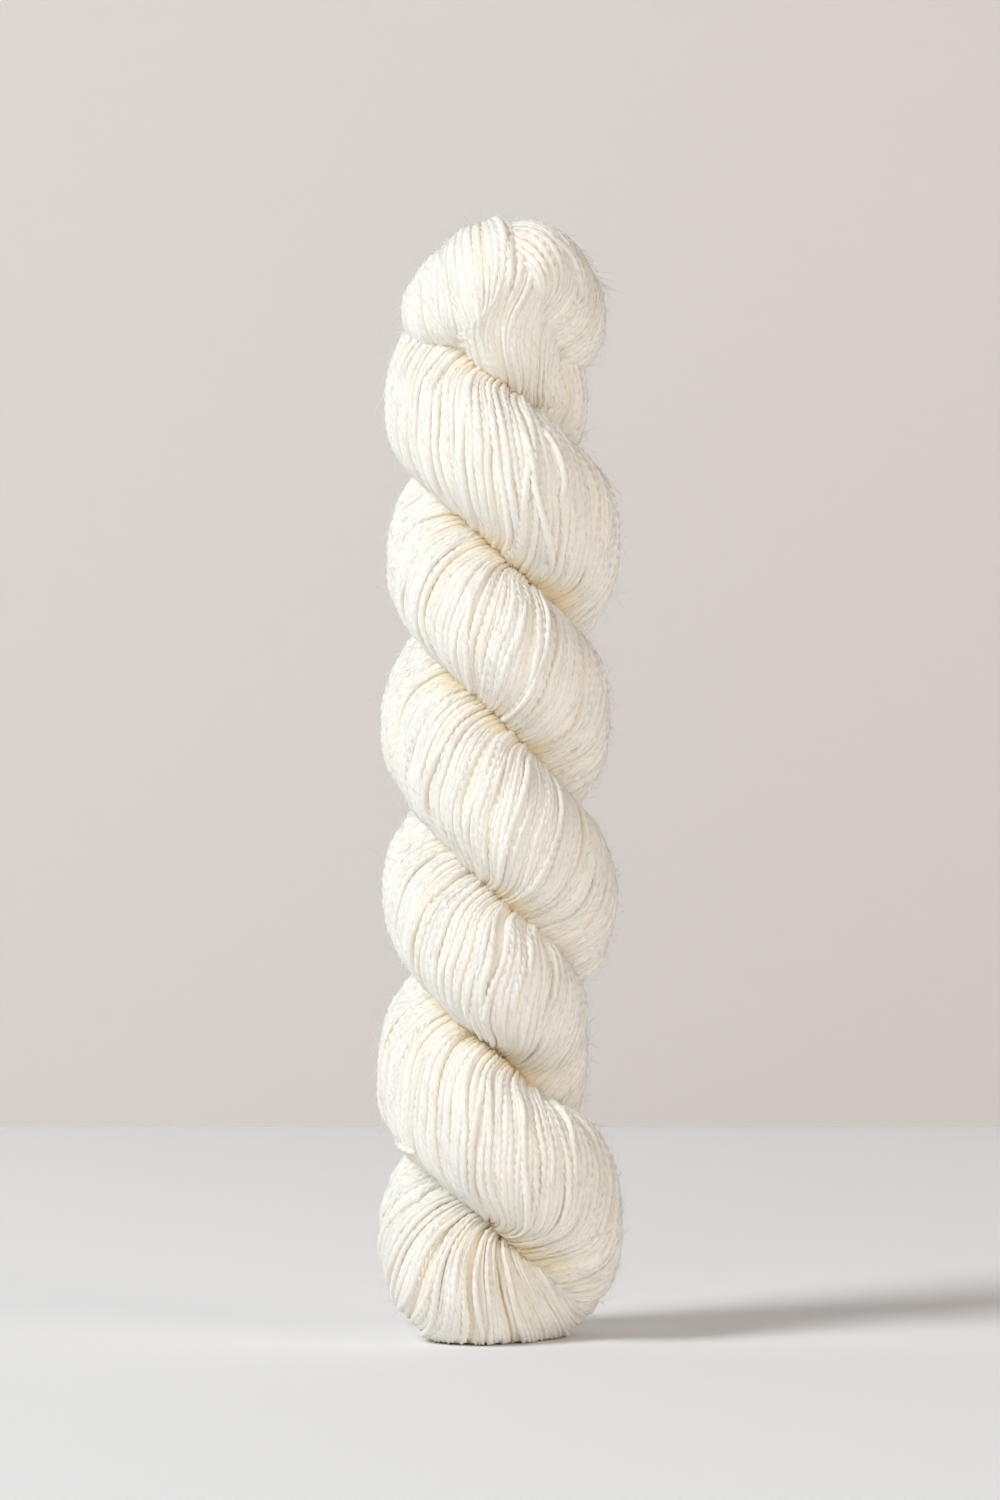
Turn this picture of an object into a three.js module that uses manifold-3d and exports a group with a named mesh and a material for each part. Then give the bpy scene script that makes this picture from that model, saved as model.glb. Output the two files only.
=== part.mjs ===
import * as THREE from 'three';
import { mergeVertices } from 'three/addons/utils/BufferGeometryUtils.js';
import Module from 'manifold-3d';

// A hank of fingering weight yarn, twisted hard, doubled back on itself and tucked at the head.
// Millimetres, +Z up. The origin is the centre of the flat spot that the hank stands on.
// The yarn is one long bundle. Leg A winds down from the head to the fold at the bottom, and
// leg B winds up again beside it, half a turn away. Seen from the front (-Y), both legs run
// down to the right, as a left-handed two-leg rope does.

// Places along the bundle are counted in quarter turns of the rope, from the end of leg A in
// the head. Quarter 0 of a leg faces the front, 1 the right (+X), 2 the back, 3 the left.
const LEG_A_FIRST = -4;
const LEG_A_LAST = 9;
const LEG_B_FIRST = -2;
const LEG_B_LAST = 11;
const FOLD_QUARTERS = 2;
const FOLD_START = LEG_A_LAST - LEG_A_FIRST;
const FOLD_END = FOLD_START + FOLD_QUARTERS;
const BUNDLE_END = FOLD_END + LEG_B_LAST - LEG_B_FIRST;

// Each row is a section of a leg. quarter: turn of the rope there, out: from the rope's axis to
// the middle of the leg, z: height of that middle, wide: radius of the leg away from the axis,
// tall: radius across that, lean: quarters that a lock of yarn moves down the leg for each
// radian round it. Rows are closer in the head, where the legs are tucked into each other.
const LEG_A = [
  { quarter: -4, out: 8.0, z: 280.0, wide: 9.0, tall: 9.0, lean: 0.0 },
  { quarter: -3.75, out: 12.5, z: 282.0, wide: 13.0, tall: 13.0, lean: 0.0 },
  { quarter: -3.5, out: 12.0, z: 280.5, wide: 13.8, tall: 15.0, lean: 0.0 },
  { quarter: -3, out: 12.3, z: 271.0, wide: 16.0, tall: 14.8, lean: 0.0 },
  { quarter: -2, out: 13.0, z: 268.0, wide: 15.5, tall: 18.0, lean: 0.08 },
  { quarter: -1, out: 14.5, z: 248.8, wide: 15.8, tall: 17.2, lean: 0.16 },
  { quarter: 0, out: 14.5, z: 231.0, wide: 16.0, tall: 16.8, lean: 0.18 },
  { quarter: 1, out: 15.2, z: 211.5, wide: 16.3, tall: 18.0, lean: 0.16 },
  { quarter: 2, out: 14.5, z: 187.0, wide: 16.0, tall: 16.4, lean: 0.13 },
  { quarter: 3, out: 15.0, z: 164.0, wide: 16.2, tall: 16.8, lean: 0.12 },
  { quarter: 4, out: 14.5, z: 140.0, wide: 16.0, tall: 16.2, lean: 0.1 },
  { quarter: 5, out: 15.0, z: 117.0, wide: 16.0, tall: 16.8, lean: 0.1 },
  { quarter: 6, out: 14.5, z: 95.7, wide: 16.0, tall: 16.4, lean: 0.1 },
  { quarter: 7, out: 16.4, z: 71.5, wide: 16.2, tall: 18.4, lean: 0.1 },
  { quarter: 8, out: 14.5, z: 52.0, wide: 16.0, tall: 17.0, lean: 0.08 },
  { quarter: 8.6, out: 15.4, z: 42.5, wide: 16.2, tall: 18.8, lean: 0.05 },
  { quarter: 9, out: 15.6, z: 31.0, wide: 16.6, tall: 18.0, lean: 0.03 },
];
const LEG_B = [
  { quarter: -2, out: 4.0, z: 280.0, wide: 9.0, tall: 10.0, lean: 0.0 },
  { quarter: -1, out: 12.0, z: 272.0, wide: 13.8, tall: 11.4, lean: 0.0 },
  { quarter: -0.5, out: 11.0, z: 276.0, wide: 14.0, tall: 15.2, lean: 0.02 },
  { quarter: 0, out: 11.0, z: 277.0, wide: 14.5, tall: 18.5, lean: 0.05 },
  { quarter: 0.35, out: 9.0, z: 265.5, wide: 13.0, tall: 15.5, lean: 0.08 },
  { quarter: 0.7, out: 8.0, z: 259.0, wide: 11.0, tall: 13.0, lean: 0.05 },
  { quarter: 1, out: 10.6, z: 255.0, wide: 11.6, tall: 12.2, lean: 0.0 },
  { quarter: 2, out: 14.0, z: 233.5, wide: 15.4, tall: 15.0, lean: 0.14 },
  { quarter: 3, out: 14.2, z: 207.6, wide: 15.6, tall: 15.2, lean: 0.14 },
  { quarter: 4, out: 14.5, z: 185.6, wide: 16.0, tall: 15.6, lean: 0.13 },
  { quarter: 5, out: 13.4, z: 165.0, wide: 15.6, tall: 16.0, lean: 0.12 },
  { quarter: 6, out: 14.5, z: 141.0, wide: 15.8, tall: 15.4, lean: 0.11 },
  { quarter: 7, out: 15.4, z: 119.5, wide: 15.8, tall: 15.1, lean: 0.1 },
  { quarter: 8, out: 14.5, z: 96.6, wide: 16.0, tall: 15.6, lean: 0.1 },
  { quarter: 9, out: 9.6, z: 79.5, wide: 13.6, tall: 13.4, lean: 0.1 },
  { quarter: 10, out: 13.8, z: 51.5, wide: 15.4, tall: 15.0, lean: 0.08 },
  { quarter: 11, out: 15.4, z: 29.0, wide: 16.4, tall: 17.0, lean: 0.03 },
];

// The fold is a half circle round the crotch of the two legs, and swings to the front on the
// left and to the back on the right, so that it runs on smoothly into both legs.
const FOLD_RADIUS = 15.5;
const FOLD_DROP = 17.0;
const FOLD_SWING = 7.6;
const FOLD_SWELL = 1.4;
const CROTCH_HEIGHT = 28.0;
const CROTCH_CLEARANCE = 0.8;

// A section faces away from the rope's axis, and above CROWN_HEIGHT away from that point of
// it. Its direction is measured at ROPE_RADIUS, over DIRECTION_STEP quarter turns each way.
const CROWN_HEIGHT = 276.0;
const ROPE_RADIUS = 14.5;
const DIRECTION_STEP = 0.02;

// The legs are pressed a little square: below one, this power fills out a round section.
const SECTION_POWER = 0.88;

// Angles round the leg, from the side that faces out: the part that shows, then the part that
// lies against the other leg, where each lock comes back to the place where it started.
const SHOWING_ANGLES = [112, 84, 56, 28, 0, -28, -56, -84, -112];
const HIDDEN_ANGLES = [-146, 180, 146];
const SHOWING_LIMIT = THREE.MathUtils.degToRad(SHOWING_ANGLES[0]);

// A lock is a handful of strands that lie together. Its rings stand a little proud, with a
// groove before the next lock.
const RINGS_PER_QUARTER = 12;
const LOCK_PROFILE = [-0.8, 0.35, 0.6, 0.2];
const LOCK_FADE = 0.8;

// The two legs press together along the rope's axis, where a core fills the space they leave.
const CORE_RADIUS = 5;
const CORE_BOTTOM = 12;
const CORE_TOP = 286;
const CORE_SIDES = 8;

// Side of the block under the hank that cuts its flat spot.
const GROUND_SIZE = 100;

// Value of a column between the rows of a table, along a smooth curve through all of them.
function smoothColumn(rows, column, quarter) {
  const last = rows.length - 1;
  const at = THREE.MathUtils.clamp(quarter, rows[0].quarter, rows[last].quarter);
  const after = Math.max(1, rows.findIndex((row) => row.quarter >= at));
  const slope = (index) => {
    const low = rows[Math.max(index - 1, 0)];
    const high = rows[Math.min(index + 1, last)];
    return (high[column] - low[column]) / (high.quarter - low.quarter);
  };
  const low = rows[after - 1];
  const high = rows[after];
  const span = high.quarter - low.quarter;
  const part = (at - low.quarter) / span;
  const rise = part * part * (3 - 2 * part);
  const leave = part * (1 - part) * (1 - part) * span * slope(after - 1);
  const arrive = part * part * (part - 1) * span * slope(after);
  return low[column] + (high[column] - low[column]) * rise + leave + arrive;
}

// Leg and quarter turn for a place along the bundle, outside the fold.
function legAt(place) {
  if (place <= FOLD_START) return { rows: LEG_A, quarter: place + LEG_A_FIRST };
  return { rows: LEG_B, quarter: LEG_B_LAST - (place - FOLD_END) };
}

// Value of a column at any place along the bundle: the fold runs from one leg's to the other's.
function columnAt(column, place) {
  if (place > FOLD_START && place < FOLD_END) {
    const part = THREE.MathUtils.smoothstep(place, FOLD_START, FOLD_END);
    const first = LEG_A[LEG_A.length - 1][column];
    return THREE.MathUtils.lerp(first, LEG_B[LEG_B.length - 1][column], part);
  }
  const { rows, quarter } = legAt(place);
  return smoothColumn(rows, column, quarter);
}

// Middle of the bundle at a place along it.
function centreAt(place) {
  if (place > FOLD_START && place < FOLD_END) {
    const round = Math.PI * (place - FOLD_START) / FOLD_QUARTERS;
    return new THREE.Vector3(
      FOLD_RADIUS * Math.cos(round),
      FOLD_SWING * Math.sin(2 * round),
      columnAt('z', place) - FOLD_DROP * Math.sin(round),
    );
  }
  const { quarter } = legAt(place);
  const turn = quarter * Math.PI / 2;
  const out = columnAt('out', place);
  return new THREE.Vector3(out * Math.sin(turn), -out * Math.cos(turn), columnAt('z', place));
}

// Direction of the bundle at a place along it. A leg's runs round the rope and down, whether
// or not its middle also comes nearer to the axis there.
function directionAt(place) {
  const before = centreAt(place - DIRECTION_STEP);
  const after = centreAt(place + DIRECTION_STEP);
  if (place > FOLD_START && place < FOLD_END) return after.sub(before).normalize();
  const turn = legAt(place).quarter * Math.PI / 2;
  const downwards = place <= FOLD_START ? 1 : -1;
  const run = 2 * DIRECTION_STEP * ROPE_RADIUS * Math.PI / 2 * downwards;
  return new THREE.Vector3(run * Math.cos(turn), run * Math.sin(turn), after.z - before.z).normalize();
}

// Middle, outward direction and sideways direction of the bundle's section at a place.
function sectionAt(place) {
  const centre = centreAt(place);
  const along = directionAt(place);
  const anchorHeight = THREE.MathUtils.clamp(centre.z, CROTCH_HEIGHT, CROWN_HEIGHT);
  const outward = centre.clone().sub(new THREE.Vector3(0, 0, anchorHeight));
  outward.addScaledVector(along, -outward.dot(along)).normalize();
  const side = new THREE.Vector3().crossVectors(outward, along);
  return { centre, outward, side };
}

// How far a lock has moved along the bundle at an angle round it, for a lean of one.
function shiftAt(angle) {
  const size = Math.abs(angle);
  if (size <= SHOWING_LIMIT) return -angle;
  const back = (Math.PI - size) / (Math.PI - SHOWING_LIMIT);
  return -Math.sign(angle) * SHOWING_LIMIT * THREE.MathUtils.smoothstep(back, 0, 1);
}

// Depth of the bundle towards the axis: in the fold it stops short of the crotch.
function innerDepth(place, wide) {
  const fromFold = Math.max(FOLD_START - place, place - FOLD_END, 0);
  const foldDepth = FOLD_RADIUS - CROTCH_CLEARANCE;
  return THREE.MathUtils.lerp(Math.min(wide, foldDepth), wide, Math.min(fromFold, 1));
}

// Extra radius of the bundle in the fold, where the weight of the hank spreads it.
function foldSwell(place) {
  if (place <= FOLD_START || place >= FOLD_END) return 0;
  return FOLD_SWELL * Math.sin(Math.PI * (place - FOLD_START) / FOLD_QUARTERS);
}

// Sine or cosine of an angle round a section that is pressed a little square.
function filledOut(value) {
  return Math.sign(value) * Math.abs(value) ** SECTION_POWER;
}

// Point on the surface of the bundle, for a ring's place and an angle round the bundle.
function surfacePoint(ringPlace, angle, rise) {
  const place = THREE.MathUtils.clamp(
    ringPlace + columnAt('lean', ringPlace) * shiftAt(angle), 0, BUNDLE_END,
  );
  const { centre, outward, side } = sectionAt(place);
  const wide = columnAt('wide', place) + foldSwell(place);
  const risen = rise * THREE.MathUtils.smoothstep(SHOWING_LIMIT - Math.abs(angle), 0, LOCK_FADE);
  const deep = Math.cos(angle) >= 0 ? wide + risen : innerDepth(place, wide);
  const tall = columnAt('tall', place) + risen;
  return centre
    .addScaledVector(outward, deep * filledOut(Math.cos(angle)))
    .addScaledVector(side, tall * filledOut(Math.sin(angle)));
}

// Closed body of the bundle between two places, ring by ring, with a fan at each end.
function bundlePiece(firstRing, lastRing) {
  const angles = [...SHOWING_ANGLES, ...HIDDEN_ANGLES].map(THREE.MathUtils.degToRad);
  const points = [];
  const faces = [];
  for (let ring = firstRing; ring <= lastRing; ring += 1) {
    const rise = LOCK_PROFILE[ring % LOCK_PROFILE.length];
    for (const angle of angles) {
      points.push(surfacePoint(ring / RINGS_PER_QUARTER, angle, rise));
    }
  }
  const count = angles.length;
  for (let ring = 0; ring < lastRing - firstRing; ring += 1) {
    for (let index = 0; index < count; index += 1) {
      const here = ring * count + index;
      const next = ring * count + (index + 1) % count;
      faces.push([here, next + count, here + count], [here, next, next + count]);
    }
  }
  const firstMiddle = points.push(sectionAt(firstRing / RINGS_PER_QUARTER).centre) - 1;
  const lastMiddle = points.push(sectionAt(lastRing / RINGS_PER_QUARTER).centre) - 1;
  const lastStart = (lastRing - firstRing) * count;
  for (let index = 0; index < count; index += 1) {
    const next = (index + 1) % count;
    faces.push([firstMiddle, next, index]);
    faces.push([lastMiddle, lastStart + index, lastStart + next]);
  }
  const geometry = new THREE.BufferGeometry();
  const flat = points.flatMap((point) => point.toArray());
  geometry.setAttribute('position', new THREE.Float32BufferAttribute(flat, 3));
  geometry.setIndex(faces.flat());
  return geometry;
}

// The middle of the rope, where the two legs press together.
function coreGeometry() {
  const length = CORE_TOP - CORE_BOTTOM;
  const geometry = new THREE.CylinderGeometry(CORE_RADIUS, CORE_RADIUS, length, CORE_SIDES);
  geometry.rotateX(Math.PI / 2);
  geometry.translate(0, 0, CORE_BOTTOM + length / 2);
  return geometry;
}

// Block under the hank, to cut the flat spot that it stands on.
function groundGeometry() {
  const geometry = new THREE.BoxGeometry(GROUND_SIZE, GROUND_SIZE, GROUND_SIZE);
  geometry.translate(0, 0, -GROUND_SIZE / 2);
  return geometry;
}

const wasm = await Module();
wasm.setup();

// Solid from a closed geometry, for joining and cutting.
function solidOf(geometry) {
  const bare = geometry.clone();
  bare.deleteAttribute('normal');
  bare.deleteAttribute('uv');
  const merged = mergeVertices(bare);
  return new wasm.Manifold(new wasm.Mesh({
    numProp: 3,
    vertProperties: new Float32Array(merged.attributes.position.array),
    triVerts: new Uint32Array(merged.index.array),
  }));
}

// Geometry from a joined solid.
function geometryOf(solid) {
  const mesh = solid.getMesh();
  const geometry = new THREE.BufferGeometry();
  geometry.setAttribute('position', new THREE.BufferAttribute(mesh.vertProperties, 3));
  geometry.setIndex(new THREE.BufferAttribute(mesh.triVerts, 1));
  geometry.computeVertexNormals();
  return geometry;
}

// The body of the largest volume, without the specks of air shut in where the legs press.
function withoutAirSpecks(solid) {
  const bodies = solid.decompose();
  return bodies.reduce((best, body) => (body.volume() > best.volume() ? body : best));
}

// The whole hank as one body: both legs, the fold and the core joined, and cut flat below.
function hankGeometry() {
  const ringsTo = (place) => Math.round(place * RINGS_PER_QUARTER);
  const legA = solidOf(bundlePiece(0, ringsTo(FOLD_START)));
  const fold = solidOf(bundlePiece(ringsTo(FOLD_START), ringsTo(FOLD_END)));
  const legB = solidOf(bundlePiece(ringsTo(FOLD_END), ringsTo(BUNDLE_END)));
  const core = solidOf(coreGeometry());
  const joined = withoutAirSpecks(legA.add(fold).add(legB).add(core));
  return geometryOf(joined.subtract(solidOf(groundGeometry())));
}

const yarn = new THREE.MeshStandardMaterial({ color: '#f3eee2', roughness: 0.95, metalness: 0 });
const hank = new THREE.Mesh(hankGeometry(), yarn);
hank.name = 'hank';

const group = new THREE.Group();
group.add(hank);
export default group;
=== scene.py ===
"""Looks of a standing hank of fingering weight yarn, strand by strand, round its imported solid.

The hank is one long bundle of strands. Leg A winds down from the head to the fold, and leg B
winds up again beside it. Sizes are in millimetres, as a maker measures them, unless a docstring
says otherwise, and the finished meshes are in metres. The camera looks along +Y, and +Z is up.
"""
from __future__ import annotations

import logging
import math
from dataclasses import dataclass, field
from enum import Enum

import bpy
import numpy as np
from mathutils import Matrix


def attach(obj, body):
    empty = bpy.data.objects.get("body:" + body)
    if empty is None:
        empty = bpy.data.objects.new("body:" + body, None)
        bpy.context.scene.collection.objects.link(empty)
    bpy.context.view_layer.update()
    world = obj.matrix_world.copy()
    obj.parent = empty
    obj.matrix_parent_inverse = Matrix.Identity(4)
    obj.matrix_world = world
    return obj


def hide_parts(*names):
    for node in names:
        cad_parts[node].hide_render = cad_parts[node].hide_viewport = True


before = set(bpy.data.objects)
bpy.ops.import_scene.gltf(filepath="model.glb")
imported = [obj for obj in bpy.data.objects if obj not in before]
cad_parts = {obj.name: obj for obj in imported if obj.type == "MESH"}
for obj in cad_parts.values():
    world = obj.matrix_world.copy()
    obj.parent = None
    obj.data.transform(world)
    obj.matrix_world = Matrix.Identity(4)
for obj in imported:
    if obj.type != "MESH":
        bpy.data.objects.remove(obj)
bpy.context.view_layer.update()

LOG = logging.getLogger("hank")
MM = 0.001

# Sections of the legs: the quarter turn, the distance from the rope's axis, the height, and the
# radii away from the axis and across that.
LEG_COLUMNS = ("quarter", "out", "z", "wide", "tall")
LEG_A_ROWS = (
    (-4, 8.0, 280.0, 9.0, 9.0),
    (-3.75, 12.5, 282.0, 13.0, 13.0),
    (-3.5, 12.0, 280.5, 13.8, 15.0),
    (-3, 12.3, 271.0, 16.0, 14.8),
    (-2, 13.0, 268.0, 15.5, 18.0),
    (-1, 14.5, 248.8, 15.8, 17.2),
    (0, 14.5, 231.0, 16.0, 16.8),
    (1, 15.2, 211.5, 16.3, 18.0),
    (2, 14.5, 187.0, 16.0, 16.4),
    (3, 15.0, 164.0, 16.2, 16.8),
    (4, 14.5, 140.0, 16.0, 16.2),
    (5, 15.0, 117.0, 16.0, 16.8),
    (6, 14.5, 95.7, 16.0, 16.4),
    (7, 16.4, 71.5, 16.2, 18.4),
    (8, 14.5, 52.0, 16.0, 17.0),
    (8.6, 15.4, 42.5, 16.2, 18.8),
    (9, 15.6, 31.0, 16.6, 18.0),
)
LEG_B_ROWS = (
    (-2, 4.0, 280.0, 9.0, 10.0),
    (-1, 12.0, 272.0, 13.8, 11.4),
    (-0.5, 11.0, 276.0, 14.0, 15.2),
    (0, 11.0, 277.0, 14.5, 18.5),
    (0.35, 9.0, 265.5, 13.0, 15.5),
    (0.7, 8.0, 259.0, 11.0, 13.0),
    (1, 10.6, 255.0, 11.6, 12.2),
    (2, 14.0, 233.5, 15.4, 15.0),
    (3, 14.2, 207.6, 15.6, 15.2),
    (4, 14.5, 185.6, 16.0, 15.6),
    (5, 13.4, 165.0, 15.6, 16.0),
    (6, 14.5, 141.0, 15.8, 15.4),
    (7, 15.4, 119.5, 15.8, 15.1),
    (8, 14.5, 96.6, 16.0, 15.6),
    (9, 9.6, 79.5, 13.6, 13.4),
    (10, 13.8, 51.5, 15.4, 15.0),
    (11, 15.4, 29.0, 16.4, 17.0),
)

# How far a strand moves along the bundle for each radian round it: the place, then the slope at
# a quarter turn on the minus side, half of that, the side that faces out, and the plus side.
FLOW_ROWS = (
    (0, -0.12, -0.16, -0.19, -0.20, -0.21),
    (0.5, -0.10, -0.10, -0.17, -0.20, -0.22),
    (1, -0.09, -0.02, -0.10, -0.20, -0.24),
    (2, -0.14, -0.13, -0.19, -0.29, -0.34),
    (3, -0.21, -0.21, -0.25, -0.39, -0.45),
    (3.5, -0.23, -0.22, -0.24, -0.28, -0.38),
    (4, -0.27, -0.21, -0.29, -0.24, -0.28),
    (4.5, -0.38, -0.28, -0.28, -0.25, -0.26),
    (5, -0.43, -0.29, -0.26, -0.25, -0.26),
    (6, -0.33, -0.28, -0.25, -0.25, -0.25),
    (7, -0.26, -0.24, -0.21, -0.23, -0.23),
    (7.5, -0.25, -0.22, -0.17, -0.14, -0.15),
    (8, -0.25, -0.21, -0.18, -0.15, -0.18),
    (8.5, -0.21, -0.13, -0.16, -0.15, -0.17),
    (9, -0.16, -0.06, -0.12, -0.16, -0.19),
    (10, -0.16, -0.14, -0.17, -0.22, -0.26),
    (11, -0.19, -0.18, -0.22, -0.27, -0.35),
    (11.5, -0.21, -0.18, -0.23, -0.22, -0.31),
    (12, -0.25, -0.17, -0.22, -0.19, -0.25),
    (12.5, -0.34, -0.21, -0.23, -0.20, -0.21),
    (13, -0.16, -0.10, -0.23, -0.18, -0.17),
    (13.5, -0.29, -0.15, -0.15, -0.14, -0.14),
    (14, -0.40, -0.20, -0.08, -0.08, -0.10),
    (14.5, -0.28, -0.14, -0.02, -0.03, -0.08),
    (15, -0.26, -0.12, -0.03, -0.02, -0.09),
    (16, -0.22, -0.14, -0.08, -0.12, -0.24),
    (17, -0.18, -0.15, -0.10, -0.22, -0.44),
    (17.5, -0.17, -0.18, -0.13, -0.22, -0.42),
    (18, -0.17, -0.21, -0.14, -0.14, -0.29),
    (18.5, -0.18, -0.16, -0.16, -0.14, -0.22),
    (19, -0.19, -0.17, -0.16, -0.16, -0.20),
    (20, -0.19, -0.18, -0.17, -0.16, -0.19),
    (21, -0.18, -0.18, -0.17, -0.14, -0.21),
    (21.5, -0.18, -0.18, -0.19, -0.13, -0.21),
    (22, -0.18, -0.16, -0.14, -0.16, -0.20),
    (22.5, -0.15, -0.08, -0.13, -0.19, -0.20),
    (23, -0.18, -0.13, -0.16, -0.20, -0.22),
    (24, -0.20, -0.20, -0.23, -0.26, -0.27),
    (25, -0.21, -0.23, -0.30, -0.34, -0.33),
    (25.33, -0.20, -0.23, -0.32, -0.36, -0.34),
    (25.66, -0.20, -0.21, -0.34, -0.34, -0.34),
    (26, -0.10, -0.08, -0.16, -0.25, -0.33),
    (26.25, -0.05, -0.03, 0.00, -0.02, -0.10),
    (26.5, 0.00, 0.04, 0.10, 0.18, 0.16),
    (27, 0.05, 0.12, 0.18, 0.22, 0.18),
    (28, 0.05, 0.12, 0.18, 0.22, 0.18),
)

# Poles, where strands run together at a crease: the place, which side (1 plus, -1 minus), how
# strongly they are drawn, how wide the pole is along the bundle, and how deep it dips.
POLE_COLUMNS = ("place", "side", "pull", "width", "dip")
POLE_ROWS = (
    (3.3, 1, 0.17, 0.25, 0.30),
    (3.62, 1, 0.17, 0.3, 0.25),
    (4.05, -1, 0.17, 0.2, 0.25),
    (4.35, -1, 0.22, 0.3, 0.35),
    (5.08, -1, 0.28, 0.4, 0.40),
    (7.1, 1, 0.17, 0.3, 0.35),
    (7.5, 1, 0.17, 0.3, 0.35),
    (7.85, 1, 0.17, 0.25, 0.25),
    (8.4, -1, 0.28, 0.35, 0.40),
    (8.68, -1, 0.17, 0.25, 0.30),
    (11.2, 1, 0.17, 0.25, 0.25),
    (11.62, 1, 0.22, 0.3, 0.25),
    (12.45, -1, 0.33, 0.5, 0.30),
    (12.93, -1, 0.28, 0.4, 0.35),
    (14.45, -1, 0.08, 0.7, 0.20),
    (17.05, 1, 0.22, 0.3, 0.35),
    (17.5, 1, 0.22, 0.3, 0.35),
    (18.3, -1, 0.22, 0.3, 0.25),
    (21.15, 1, 0.22, 0.3, 0.30),
    (21.7, 1, 0.22, 0.3, 0.30),
    (22.08, 1, 0.17, 0.25, 0.35),
    (22.4, -1, 0.28, 0.35, 0.30),
    (22.95, -1, 0.28, 0.3, 0.30),
)

# Strands that lie over the others: the place and angle (degrees) of their upper end, their
# middle and their lower end, how far they stand up there, and how many lie side by side.
PROUD_COLUMNS = (
    "upper", "upper_angle", "middle", "middle_angle", "lower", "lower_angle", "rise", "count",
)
PROUD_ROWS = (
    (3.90, 60, 4.17, 3, 4.96, -101, 1.0, 1),
    (4.00, 62, 4.16, 39, 4.44, -19, 0.8, 1),
    (26.16, -98, 26.11, -66, 26.05, -24, 0.9, 1),
    (0.36, 14, 0.59, -2, 0.62, -34, 0.8, 2),
)

# Values that change along the bundle, each row a place and the value there: the share of the
# swelling into the creases, the angle where a strand's ends are out of sight, the angle where the
# next lobe hides it, towards which a strand's colour takes painted shade, and the angle where
# strands tuck under at the notch of the head.
SWELL_ROWS = (
    (1.0, 0.0), (3.0, 1.0), (12.2, 1.0), (13.2, 0.0), (14.8, 0.0), (15.8, 1.0), (25.0, 1.0),
    (27.0, 0.0),
)
REACH_ROWS = (
    (0.0, 150.0), (2.0, 130.0), (3.0, 117.0), (12.0, 117.0), (13.0, 150.0), (14.0, 168.0),
    (15.0, 150.0), (16.0, 117.0), (24.5, 117.0), (25.5, 130.0), (28.0, 150.0),
)
CREASE_ROWS = (
    (0.0, 175.0), (2.0, 150.0), (3.2, 104.0), (12.3, 104.0), (13.3, 132.0), (14.7, 132.0),
    (15.8, 104.0), (24.4, 104.0), (25.2, 120.0), (28.0, 175.0),
)
TUCK_ROWS = ((25.3, 180.0), (25.9, 88.0), (26.9, 88.0), (27.5, 180.0))


def smooth_step(value: np.ndarray, low: float, high: float) -> np.ndarray:
    """Smooth rise from 0 at low to 1 at high.

    Args:
        value: Numbers to place between the two ends.
        low: Value that gives 0.
        high: Value that gives 1.

    Returns:
        The rise at each number.
    """
    part = np.clip((value - low) / (high - low), 0.0, 1.0)
    return part * part * (3.0 - 2.0 * part)


def ramp(angle: np.ndarray, span: tuple[float, float]) -> np.ndarray:
    """Smooth rise from 0 to 1 over a span of degrees, for angles in radians."""
    return smooth_step(angle, math.radians(span[0]), math.radians(span[1]))


def by_place(rows: tuple[tuple[float, float], ...], place: np.ndarray) -> np.ndarray:
    """Value of a table of places and values, straight between its rows."""
    places, values = zip(*rows)
    return np.interp(place, places, values)


def run_along(points: np.ndarray) -> np.ndarray:
    """Distance run at each point of a line."""
    return np.concatenate([[0.0], np.cumsum(np.linalg.norm(np.diff(points, axis=0), axis=1))])


def put_in_scene(name: str, data: bpy.types.ID) -> bpy.types.Object:
    """New object with the given data, in the scene.

    Args:
        name: Name of the object.
        data: Its mesh, light or camera.

    Returns:
        The object.
    """
    made = bpy.data.objects.new(name, data)
    bpy.context.scene.collection.objects.link(made)
    return made


def keep_at_points(mesh: bpy.types.Mesh, name: str, values: np.ndarray) -> None:
    """Keeps a number or a vector at each point of a mesh.

    Args:
        mesh: The mesh.
        name: Name of the attribute.
        values: One number or one vector a point.
    """
    kind, slot = ("FLOAT_VECTOR", "vector") if values.ndim > 1 else ("FLOAT", "value")
    attribute = mesh.attributes.new(name, kind, "POINT")
    attribute.data.foreach_set(slot, values.astype(np.float32).ravel())


def unit(vectors: np.ndarray) -> np.ndarray:
    """Vectors of the same direction and length one."""
    return vectors / np.linalg.norm(vectors, axis=-1, keepdims=True)


def row_dot(left: np.ndarray, right: np.ndarray) -> np.ndarray:
    """Dot product of each pair of vectors, kept as a column."""
    return np.sum(left * right, axis=-1, keepdims=True)


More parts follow.
